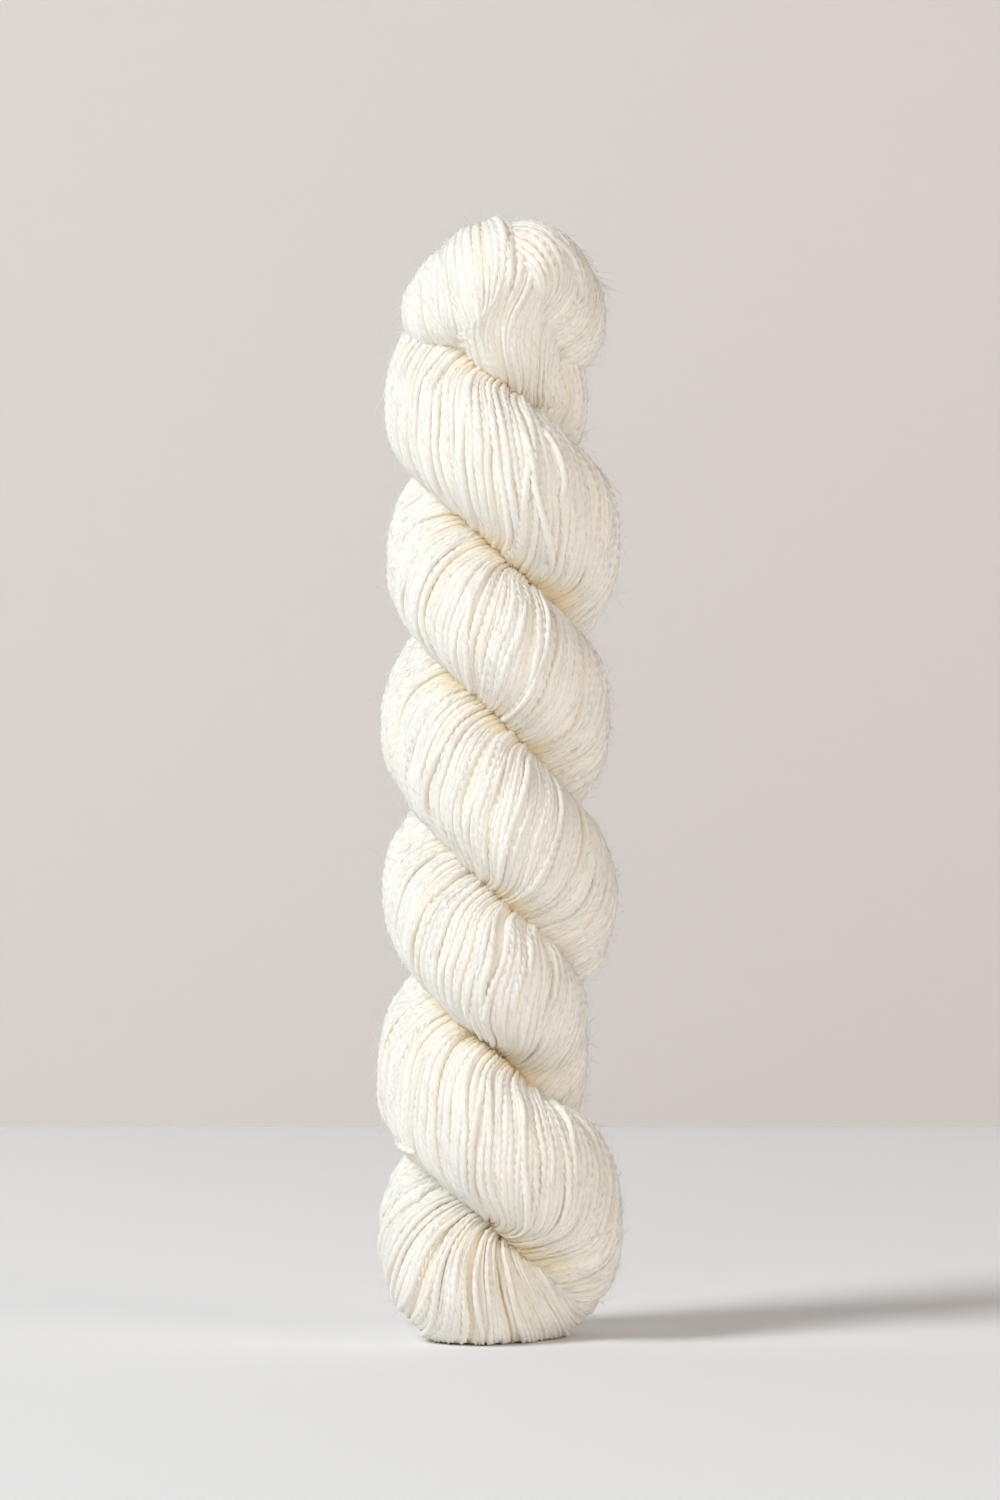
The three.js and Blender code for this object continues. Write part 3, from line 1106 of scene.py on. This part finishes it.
class NodeSketch(NodeSheet):
    """A geometry node tree with named inputs."""

    def __init__(self, name: str) -> None:
        """Starts a tree with a geometry input and a geometry output.

        Args:
            name: Name of the tree.
        """
        super().__init__(bpy.data.node_groups.new(name, "GeometryNodeTree"))
        self.tree.is_modifier = True
        self.identifiers: dict[str, str] = {}
        self.tree.interface.new_socket("Geometry", in_out="INPUT", socket_type="NodeSocketGeometry")
        self.tree.interface.new_socket("Geometry", in_out="OUTPUT", socket_type="NodeSocketGeometry")
        self.start = self.tree.nodes.new("NodeGroupInput")
        self.end = self.tree.nodes.new("NodeGroupOutput")

    def size(self, name: str, kind: str) -> bpy.types.NodeSocket:
        """Adds a named input.

        Args:
            name: Name of the input.
            kind: Type of the socket.

        Returns:
            The socket that gives its value.
        """
        item = self.tree.interface.new_socket(name, in_out="INPUT", socket_type=kind)
        self.identifiers[name] = item.identifier
        return next(s for s in self.start.outputs if s.identifier == item.identifier)

    def named(self, name: str, kind: str = "FLOAT") -> bpy.types.NodeSocket:
        """Socket of a named attribute."""
        return self.node("GeometryNodeInputNamedAttribute", {"Name": name}, data_type=kind).outputs[0]

    def keep(
        self, geometry: bpy.types.NodeSocket, name: str, value: bpy.types.NodeSocket, kind: str = "FLOAT"
    ) -> bpy.types.NodeSocket:
        """Keeps a value at each point of a geometry.

        Args:
            geometry: Socket of the geometry.
            name: Name of the attribute.
            value: Socket of the value.
            kind: Type of the value.

        Returns:
            Socket of the geometry with the attribute.
        """
        inputs = {"Geometry": geometry, "Name": name, "Value": value}
        kind_of_node = "GeometryNodeStoreNamedAttribute"
        return self.node(kind_of_node, inputs, data_type=kind, domain="POINT").outputs[0]

    def finish(self, geometry: bpy.types.NodeSocket, material: bpy.types.NodeSocket) -> None:
        """Ends the tree in real geometry with its material.

        Args:
            geometry: Socket of the finished geometry.
            material: Socket of the material input.
        """
        smooth = self.node("GeometryNodeSetShadeSmooth", {"Geometry": geometry})
        real = self.node("GeometryNodeRealizeInstances", {"Geometry": smooth.outputs[0]})
        dressed = self.node(
            "GeometryNodeSetMaterial", {"Geometry": real.outputs[0], "Material": material}
        )
        self.feed(self.end.inputs[0], dressed.outputs[0])

    def apply(self, host: bpy.types.Object, values: dict[str, object]) -> None:
        """Runs the tree on an object and leaves a plain mesh there.

        Args:
            host: Object whose mesh the tree reads.
            values: Value of each named input.
        """
        modifier = host.modifiers.new("make", "NODES")
        modifier.node_group = self.tree
        for name, value in values.items():
            modifier[self.identifiers[name]] = value
        graph = bpy.context.evaluated_depsgraph_get()
        mesh = bpy.data.meshes.new_from_object(
            host.evaluated_get(graph), preserve_all_data_layers=True, depsgraph=graph
        )
        host.modifiers.clear()
        old = host.data
        host.data = mesh
        bpy.data.meshes.remove(old)


class StrandSweep:
    """Node tree that sweeps a section along every line of a mesh of edges."""

    def __init__(self) -> None:
        """Builds the tree."""
        sketch = NodeSketch("strand_sweep")
        points = sketch.size("Profile Points", "NodeSocketInt")
        a_ply = sketch.size("Points a Ply", "NodeSocketInt")
        depth = sketch.size("Ply Depth", "NodeSocketFloat")
        side_painted_shade = sketch.size("Side Painted Shade", "NodeSocketFloat")
        hollow_painted_shade = sketch.size("Hollow Painted Shade", "NodeSocketFloat")
        material = sketch.size("Finish", "NodeSocketMaterial")
        curve = sketch.node("GeometryNodeMeshToCurve", {"Mesh": sketch.start.outputs[0]})
        tilted = sketch.node(
            "GeometryNodeSetCurveTilt",
            {"Curve": curve.outputs[0], "Tilt": sketch.named("twist")},
        )
        parameter = sketch.node("GeometryNodeSplineParameter")
        run = sketch.keep(tilted.outputs[0], "run", parameter.outputs["Length"])
        circle = sketch.node("GeometryNodeCurvePrimitiveCircle", {"Resolution": points, "Radius": 1.0})
        index = sketch.node("GeometryNodeInputIndex").outputs[0]
        spot = sketch.sum_of("MODULO", index, a_ply)
        top = sketch.sum_of("COMPARE", spot, 0.0, 0.1)
        dip = sketch.sum_of("MULTIPLY", sketch.sum_of("SUBTRACT", 1.0, top), depth)
        scale = sketch.sum_of("SUBTRACT", 1.0, dip)
        position = sketch.node("GeometryNodeInputPosition").outputs[0]
        scaled = sketch.node(
            "ShaderNodeVectorMath", {0: position, "Scale": scale}, operation="SCALE"
        )
        star = sketch.node(
            "GeometryNodeSetPosition",
            {"Geometry": circle.outputs[0], "Position": scaled.outputs[0]},
        )
        around = sketch.keep(star.outputs[0], "around", position, "FLOAT_VECTOR")
        # Painted shade in the hollows between plies.
        shaded = sketch.sum_of("MULTIPLY", sketch.sum_of("SUBTRACT", 1.0, top), hollow_painted_shade)
        hollow_shade = sketch.keep(around, "hollow_shade", shaded)
        swept = sketch.node(
            "GeometryNodeCurveToMesh",
            {
                "Curve": run,
                "Profile Curve": hollow_shade,
                "Scale": sketch.named("girth"),
                "Fill Caps": True,
            },
        )
        # Painted shade on the sides that turn away from the bundle, added to the painted shade of
        # grooves, creases, poles and ply hollows.
        normal = sketch.node("GeometryNodeInputNormal").outputs[0]
        out = sketch.named("out", "FLOAT_VECTOR")
        facing = sketch.node("ShaderNodeVectorMath", {0: normal, 1: out}, operation="DOT_PRODUCT")
        turned = sketch.sum_of("SUBTRACT", 1.0, facing.outputs["Value"])
        deep_and_hollow_shade = sketch.sum_of("ADD", sketch.named("deep"), sketch.named("hollow_shade"))
        shade_share = sketch.sum_of("MULTIPLY_ADD", turned, side_painted_shade, deep_and_hollow_shade)
        shade_share.node.use_clamp = True
        sketch.finish(sketch.keep(swept.outputs[0], "deep", shade_share), material)
        self.sketch = sketch

    def sweep(
        self, name: str, lines: list[StrandLine], section: Section, material: bpy.types.Material
    ) -> bpy.types.Object:
        """Makes one piece of many strands.

        Args:
            name: Name of the piece.
            lines: The strands, in millimetres.
            section: Outline of a strand.
            material: Finish of the piece.

        Returns:
            The finished object, a plain mesh.
        """
        points = np.concatenate([line.points for line in lines]) * MM
        sizes = [len(line.points) for line in lines]
        starts = np.concatenate([[0], np.cumsum(sizes)])
        edges = np.concatenate(
            [
                np.stack([np.arange(a, b - 1), np.arange(a + 1, b)], axis=1)
                for a, b in zip(starts[:-1], starts[1:])
            ]
        )
        mesh = bpy.data.meshes.new(name)
        mesh.vertices.add(len(points))
        mesh.vertices.foreach_set("co", points.astype(np.float32).ravel())
        mesh.edges.add(len(edges))
        mesh.edges.foreach_set("vertices", edges.astype(np.int32).ravel())
        keep_at_points(mesh, "girth", np.concatenate([line.girth for line in lines]) * MM)
        keep_at_points(mesh, "twist", np.concatenate([line.twist for line in lines]))
        # Share of painted shade in the colour at each point.
        keep_at_points(mesh, "deep", np.concatenate([line.deep for line in lines]))
        keep_at_points(mesh, "shade", np.repeat([line.shade for line in lines], sizes))
        keep_at_points(mesh, "out", np.concatenate([line.out for line in lines]))
        mesh.update()
        piece = put_in_scene(name, mesh)
        self.sketch.apply(
            piece,
            {
                "Profile Points": section.points,
                "Points a Ply": section.points_a_ply,
                "Ply Depth": section.depth,
                "Side Painted Shade": section.side_painted_shade,
                "Hollow Painted Shade": section.hollow_painted_shade,
                "Finish": material,
            },
        )
        return piece


@dataclass(frozen=True)
class Fuzz:
    """Fine fibres that stand off the strands, in millimetres."""

    count: int = 8200
    points: int = 4
    girth: float = 0.055
    shortest: float = 2.0
    longest: float = 6.5

    def lines(self, strands: list[StrandLine], rng: np.random.Generator) -> list[StrandLine]:
        """Fibres at random spots on the strands.

        Args:
            strands: The strands that they grow from.
            rng: Source of random numbers.

        Returns:
            The fibres.
        """
        sizes = np.array([len(strand.points) for strand in strands])
        chosen = rng.choice(len(strands), self.count, p=sizes / sizes.sum())
        part = np.linspace(0.0, 1.0, self.points)[:, None]
        taper = self.girth * np.linspace(1.0, 0.45, self.points)
        fibres = []
        for number in chosen:
            strand = strands[number]
            spot = int(rng.integers(4, len(strand.points) - 4))
            along = unit(strand.points[spot + 1] - strand.points[spot - 1])
            out = strand.out[spot]
            side = np.cross(along, out)
            lean = rng.uniform(-1.0, 1.0)
            root = strand.points[spot] + strand.girth[spot] * (0.7 * out + 0.6 * lean * side)
            length = rng.uniform(self.shortest, self.longest)
            head = rng.choice((-1.0, 1.0)) * along + rng.uniform(0.1, 0.75) * out + 0.5 * lean * side
            bend = rng.uniform(-0.35, 0.45) * out + rng.uniform(-0.5, 0.5) * side
            curve = root + length * (part * unit(head) + part**2 * 0.6 * bend)
            curve[:, 2] = np.maximum(curve[:, 2], 0.1)
            flat = np.zeros(self.points)
            fibres.append(StrandLine(curve, np.repeat(out[None], self.points, 0), taper, flat, flat, 1.0))
        return fibres


@dataclass
class WoolFinish:
    """Undyed cream wool: matt, with a fine sheen, streaks of fibres, random flecks of the groove
    colour, and painted shade in that colour in grooves, creases, ply hollows and on strands' sides.

    Heights of the bumps are in metres. around_scale and run_scale draw the fibres out along
    the strand.
    """

    name: str
    colour: tuple[float, float, float] = (0.965, 0.953, 0.92)
    # Colour of the painted shade in grooves, creases, ply hollows and on strands' sides, and of the
    # random flecks.
    groove: tuple[float, float, float] = (0.95, 0.81, 0.56)
    roughness: float = 0.9
    sheen: float = 0.4
    specular: float = 0.2
    sheen_roughness: float = 0.5
    darkest: float = 0.975
    lightest: float = 1.015
    streaks: float = 0.55
    streak_height: float = 0.0005
    nap: float = 0.25
    nap_height: float = 0.0003
    nap_scale: float = 2200.0
    fleck: float = 0.16
    fleck_scale: float = 1.3
    fleck_from: float = 0.48
    fleck_to: float = 0.72
    around_scale: float = 3.2
    run_scale: float = 170.0

    def material(self) -> bpy.types.Material:
        """Builds the material.

        Returns:
            The material, with fine fibres in its bump and a slight change of shade.
        """
        made = bpy.data.materials.new(self.name)
        made.use_nodes = True
        made.node_tree.nodes.clear()
        sheet = NodeSheet(made.node_tree)
        spot = self.fibre_spot(sheet)
        shader = sheet.node(
            "ShaderNodeBsdfPrincipled",
            {
                "Roughness": self.roughness,
                "Specular IOR Level": self.specular,
                "Sheen Weight": self.sheen,
                "Sheen Roughness": self.sheen_roughness,
                "Base Color": self.tone(sheet, spot),
                "Normal": self.relief(sheet, spot),
            },
        )
        sheet.node("ShaderNodeOutputMaterial", {"Surface": shader.outputs[0]})
        return made

    def attribute(self, sheet: NodeSheet, name: str, output: str) -> bpy.types.NodeSocket:
        """Socket of an attribute of the mesh."""
        return sheet.node("ShaderNodeAttribute", attribute_name=name).outputs[output]

    def blend(
        self, sheet: NodeSheet, factor: bpy.types.NodeSocket, first: object, second: object
    ) -> bpy.types.NodeSocket:
        """Mix of two colours.

        Args:
            sheet: The material's nodes.
            factor: Share of the second colour.
            first: First colour with its alpha, or its socket.
            second: Second colour with its alpha, or its socket.

        Returns:
            Socket of the mixed colour.
        """
        inputs = {"Factor": factor, 6: first, 7: second}
        return sheet.node("ShaderNodeMix", inputs, data_type="RGBA").outputs[2]

    def tone(self, sheet: NodeSheet, spot: bpy.types.NodeSocket) -> bpy.types.NodeSocket:
        """Colour that changes a little from strand to strand and in random flecks, with painted shade
        in the grooves, creases and ply hollows and on the strands' sides.

        Args:
            sheet: The material's nodes.
            spot: Place on the strand.

        Returns:
            Socket of the colour.
        """
        darker = (*(self.darkest * part for part in self.colour), 1.0)
        lighter = (*(min(self.lightest * part, 1.0) for part in self.colour), 1.0)
        groove = (*self.groove, 1.0)
        shade = {"From Min": -1.0, "Value": self.attribute(sheet, "shade", "Fac")}
        strand = self.blend(
            sheet, sheet.node("ShaderNodeMapRange", shade).outputs["Result"], darker, lighter
        )
        noise = {"Scale": self.fleck_scale, "Detail": 2.0, "Vector": spot}
        spread = {
            "From Min": self.fleck_from,
            "From Max": self.fleck_to,
            "To Max": self.fleck,
            "Value": sheet.node("ShaderNodeTexNoise", noise).outputs["Fac"],
        }
        share = sheet.node("ShaderNodeMapRange", spread).outputs["Result"]
        flecked = self.blend(sheet, share, strand, groove)
        # Painted shade: the deep share mixes in the groove colour.
        return self.blend(sheet, self.attribute(sheet, "deep", "Fac"), flecked, groove)

    def fibre_spot(self, sheet: NodeSheet) -> bpy.types.NodeSocket:
        """Place on a strand that turns with its plies, drawn out along them.

        Args:
            sheet: The material's nodes.

        Returns:
            Socket of the place.
        """
        around = {0: self.attribute(sheet, "around", "Vector"), "Scale": self.around_scale}
        across = sheet.node("ShaderNodeVectorMath", around, operation="SCALE").outputs[0]
        length = sheet.sum_of("MULTIPLY", self.attribute(sheet, "run", "Fac"), self.run_scale)
        along = sheet.node("ShaderNodeCombineXYZ", {"Z": length}).outputs[0]
        return sheet.node("ShaderNodeVectorMath", {0: across, 1: along}, operation="ADD").outputs[0]

    def relief(self, sheet: NodeSheet, spot: bpy.types.NodeSocket) -> bpy.types.NodeSocket:
        """Streaks of fibres along the plies, and a fine nap over all.

        Args:
            sheet: The material's nodes.
            spot: Place on the strand.

        Returns:
            Socket of the bumped normal.
        """
        where = sheet.node("ShaderNodeTexCoord").outputs["Object"]
        normal = None
        for place, scale, strength, height in (
            (spot, 1.0, self.streaks, self.streak_height),
            (where, self.nap_scale, self.nap, self.nap_height),
        ):
            noise = sheet.node("ShaderNodeTexNoise", {"Scale": scale, "Detail": 3.0, "Vector": place})
            inputs = {"Strength": strength, "Distance": height, "Height": noise.outputs["Fac"]}
            if normal is not None:
                inputs["Normal"] = normal
            normal = sheet.node("ShaderNodeBump", inputs).outputs[0]
        return normal


@dataclass
class UnderYarn:
    """The next strands under the ones on top, as one closed body with a ridge in every gap.

    under and between are the heights over the bundle below a strand and in a gap. samples are
    the rings for each strand, and hidden_from is the angle in degrees where the rings turn flat.
    """

    winding: Winding
    samples: int = 4
    sides: int = 40
    under: float = -1.0
    between: float = -0.15
    uneven: float = 0.10
    drift_points: int = 9
    hidden_from: float = 128.0
    groove_share: float = 0.85
    # Painted shade of this body, which shows only in the gaps between strands, and its share of the
    # painted shade of the grooves.
    base_painted_shade: float = 0.16
    painted_shade_share: float = 0.9
    lowest: float = 0.5

    def build(self, material: bpy.types.Material, rng: np.random.Generator) -> bpy.types.Object:
        """Makes the body.

        Args:
            material: Finish of the piece.
            rng: Source of random numbers.

        Returns:
            The finished object.
        """
        winding = self.winding
        count = len(winding.starts)
        order = np.arange((count - 1) * self.samples + 1) / self.samples
        angles = math.pi * (1.0 - 2.0 * np.arange(self.sides) / self.sides)
        low = np.minimum(order.astype(int), count - 2)
        part = (order - low)[:, None]
        rows = np.stack([np.interp(angles, winding.angles, path) for path in winding.paths])
        paths = rows[low] * (1.0 - part) + rows[low + 1] * part
        start = np.interp(order, np.arange(count), winding.starts)[:, None]
        turned = smooth_step(np.abs(angles), math.radians(self.hidden_from), math.pi)[None, :]
        paths = paths + (start - paths) * turned
        _, _, groove = winding.lock_of(start)
        ridge = 0.5 - 0.5 * np.cos(2.0 * math.pi * order[:, None])
        drift = rng.normal(0.0, 1.0, (count, self.drift_points))
        knots = np.linspace(-math.pi, math.pi, self.drift_points)
        waves = np.stack([np.interp(angles, knots, row) for row in drift])
        uneven = self.uneven * (waves[low] * (1.0 - part) + waves[low + 1] * part) * ridge
        uneven = uneven * (1.0 - turned)
        rise = self.under + (self.between - self.under) * ridge + uneven
        rise = rise - self.groove_share * groove
        dip = winding.flow.dip(paths, np.broadcast_to(angles, paths.shape))
        rise = rise - dip + winding.flow.swell(start, angles[None, :])
        points = winding.bundle.surface(paths, angles[None, :], rise)
        points[..., 2] = np.maximum(points[..., 2], self.lowest)
        # Painted shade: a base share in the gaps, more in deeper grooves, towards the creases and at the
        # poles.
        painted_shade = self.base_painted_shade + self.painted_shade_share * groove * winding.shape.groove_painted_shade
        deep = np.maximum(painted_shade, winding.painted_shade(start, angles[None, :]))
        deep = deep + winding.shape.pole_painted_shade * dip**2
        return self.body(points, np.clip(deep, 0.0, 1.0), material)

    def body(
        self, points: np.ndarray, deep: np.ndarray, material: bpy.types.Material
    ) -> bpy.types.Object:
        """Closed mesh through rings of points.

        Args:
            points: Points of each ring, in millimetres.
            deep: Depth of the colour at each point.
            material: Finish of the piece.

        Returns:
            The object.
        """
        rings, sides = points.shape[:2]
        ends = [points[0].mean(axis=0), points[-1].mean(axis=0)]
        vertices = np.concatenate([points.reshape(-1, 3), ends]) * MM
        side = np.arange(sides)
        here = np.arange(rings - 1)[:, None] * sides + side[None, :]
        beside = np.arange(rings - 1)[:, None] * sides + (side[None, :] + 1) % sides
        quads = np.stack([here, beside, beside + sides, here + sides], axis=-1).reshape(-1, 4)
        after = (side + 1) % sides
        last = (rings - 1) * sides
        first_fan = np.stack([np.full(sides, rings * sides), after, side], axis=-1)
        last_fan = np.stack([np.full(sides, rings * sides + 1), last + side, last + after], axis=-1)
        faces = quads.tolist() + first_fan.tolist() + last_fan.tolist()
        mesh = bpy.data.meshes.new("yarn_under")
        mesh.from_pydata(vertices.tolist(), [], faces)
        # Share of painted shade in the colour at each point.
        keep_at_points(mesh, "deep", np.concatenate([deep.ravel(), [1.0, 1.0]]))
        mesh.materials.append(material)
        mesh.shade_smooth()
        mesh.update()
        return put_in_scene("yarn_under", mesh)


@dataclass
class Hank:
    """All pieces of the hank."""

    seed: int = 5
    cuts: tuple[float, ...] = (0.0, 3.6, 7.2, 11.0, 15.6, 19.4, 23.2, 28.0)

    def build(self) -> list[bpy.types.Object]:
        """Builds and dresses every piece.

        Returns:
            The pieces.
        """
        bundle = Bundle()
        make = YarnMake()
        rng = np.random.default_rng(self.seed)
        wool = WoolFinish("cream_wool").material()
        winding = Winding(bundle, make, rng)
        lines = winding.lines()
        sweep = StrandSweep()
        pieces = []
        for number, (low, high) in enumerate(zip(self.cuts[:-1], self.cuts[1:])):
            chosen = [line for place, line in lines if low <= place < high]
            pieces.append(sweep.sweep(f"strands_{number + 1}", chosen, make.section, wool))
        pieces.append(UnderYarn(winding).build(wool, rng))
        fibres = Fuzz().lines([line for _, line in lines], rng)
        pieces.append(sweep.sweep("fuzz", fibres, Section(3), wool))
        for piece in pieces:
            triangles = len(piece.data.loops) - 2 * len(piece.data.polygons)
            LOG.info("%s: %d triangles", piece.name, triangles)
            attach(piece, "root")
            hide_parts("hank")
        return pieces


class Side(Enum):
    """Which side of the hank a light stands on, seen from the front."""

    LEFT = -1.0
    RIGHT = 1.0


@dataclass(frozen=True)
class Lamp:
    """A soft round light that faces the middle of the hank.

    azimuth is in degrees in front of its side, height in degrees over the floor, reach and size
    in metres, and power in watts. target_height is the height in metres that it faces.
    """

    name: str
    side: Side
    azimuth: float
    height: float
    reach: float
    size: float
    power: float
    colour: tuple[float, float, float]
    target_height: float = 0.12

    def build(self) -> None:
        """Puts the light in the scene."""
        turn, rise = math.radians(self.azimuth), math.radians(self.height)
        where = (
            self.side.value * self.reach * math.cos(rise) * math.cos(turn),
            -self.reach * math.cos(rise) * math.sin(turn),
            self.reach * math.sin(rise) + self.target_height,
        )
        data = bpy.data.lights.new(self.name, "AREA")
        data.shape = "DISK"
        data.size = self.size
        data.energy = self.power
        data.color = self.colour
        light = put_in_scene(self.name, data)
        light.location = where
        aim = unit(np.array((0.0, 0.0, self.target_height)) - np.array(where))
        yaw, pitch = math.atan2(aim[0], -aim[1]), math.acos(-aim[2])
        light.rotation_euler = (pitch, 0.0, yaw + math.pi)


@dataclass(frozen=True)
class Studio:
    """Floor, wall, lights and camera. Sizes are in millimetres, and scale in millimetres for each
    pixel of an image of image_height at the hank's axis."""

    scale: float = 0.2655
    image_height: int = 1500
    distance: float = 1350.0
    eye_height: float = 156.2
    sensor: float = 36.0
    wall_distance: float = 757.0
    floor_size: float = 3000.0
    floor_colour: tuple[float, float, float] = (0.91, 0.905, 0.91)
    wall_colour: tuple[float, float, float] = (0.71, 0.67, 0.64)
    room_colour: tuple[float, float, float] = (1.0, 0.91, 0.83)
    room_light: float = 0.12
    grain_scale: float = 900.0
    grain_height: float = 0.0002
    lamps: tuple[Lamp, ...] = (
        Lamp("key", Side.LEFT, 33.0, 38.0, 3.2, 1.15, 77.0, (0.91, 0.965, 1.0)),
        Lamp("fill", Side.RIGHT, 38.0, 8.0, 2.3, 1.4, 20.0, (1.0, 0.9, 0.8)),
        Lamp("front", Side.LEFT, 80.0, 6.0, 2.4, 1.0, 9.0, (1.0, 0.93, 0.86)),
    )

    def camera(self) -> None:
        """Places the camera, level and square to the front."""
        data = bpy.data.cameras.new("camera")
        data.sensor_fit = "AUTO"
        data.sensor_width = self.sensor
        data.lens = self.sensor * self.distance / (self.image_height * self.scale)
        data.clip_end = 100.0
        eye = put_in_scene("camera", data)
        eye.location = (0.0, -self.distance * MM, self.eye_height * MM)
        eye.rotation_euler = (math.pi / 2.0, 0.0, 0.0)
        bpy.context.scene.camera = eye

    def plain(self, name: str, colour: tuple[float, float, float]) -> bpy.types.Material:
        """A matt painted surface with a faint grain, clear from behind so that it hides nothing.

        Args:
            name: Name of the material.
            colour: Its colour.

        Returns:
            The material.
        """
        made = bpy.data.materials.new(name)
        made.use_nodes = True
        nodes = made.node_tree.nodes
        shader = nodes["Principled BSDF"]
        sheet = NodeSheet(made.node_tree)
        place = sheet.node("ShaderNodeTexCoord").outputs["Object"]
        grain = sheet.node("ShaderNodeTexNoise", {"Scale": self.grain_scale, "Vector": place})
        height = {"Strength": 0.05, "Distance": self.grain_height, "Height": grain.outputs["Fac"]}
        looks = {
            "Base Color": (*colour, 1.0),
            "Roughness": 0.95,
            "Specular IOR Level": 0.1,
            "Normal": sheet.node("ShaderNodeBump", height).outputs[0],
        }
        for key, value in looks.items():
            sheet.feed(shader.inputs[key], value)
        sides = {
            0: sheet.node("ShaderNodeNewGeometry").outputs["Backfacing"],
            1: shader.outputs[0],
            2: sheet.node("ShaderNodeBsdfTransparent").outputs[0],
        }
        either = sheet.node("ShaderNodeMixShader", sides)
        sheet.feed(nodes["Material Output"].inputs["Surface"], either.outputs[0])
        return made

    def panel(
        self,
        name: str,
        corners: list[tuple[float, float, float]],
        colour: tuple[float, float, float],
    ) -> None:
        """A flat stage panel.

        Args:
            name: Name of the panel.
            corners: Its corners in millimetres.
            colour: Its colour.
        """
        mesh = bpy.data.meshes.new(name)
        mesh.from_pydata([tuple(MM * v for v in corner) for corner in corners], [], [(0, 1, 2, 3)])
        mesh.materials.append(self.plain(name, colour))
        put_in_scene(name, mesh)

    def stage(self) -> None:
        """Floor and wall."""
        side, back = self.floor_size, self.wall_distance
        floor = [(-side, -side, 0), (side, -side, 0), (side, back, 0), (-side, back, 0)]
        wall = [(-side, back, 0), (side, back, 0), (side, back, side), (-side, back, side)]
        self.panel("floor", floor, self.floor_colour)
        self.panel("wall", wall, self.wall_colour)

    def lights(self) -> None:
        """Key light from the left front, a fill from the right, one in front, and a lit room."""
        for lamp in self.lamps:
            lamp.build()
        world = bpy.data.worlds.new("room")
        world.use_nodes = True
        background = world.node_tree.nodes["Background"]
        background.inputs["Color"].default_value = (*self.room_colour, 1.0)
        background.inputs["Strength"].default_value = self.room_light
        bpy.context.scene.world = world
        bpy.context.scene.view_settings.view_transform = "Standard"

    def build(self) -> None:
        """Builds the studio."""
        self.camera()
        self.stage()
        self.lights()


def main() -> None:
    """Builds the hank and the studio."""
    logging.basicConfig(level=logging.INFO, format="%(name)s: %(message)s")
    Studio().build()
    pieces = Hank().build()
    LOG.info("%d pieces", len(pieces))


if __name__ == "__main__":
    main()
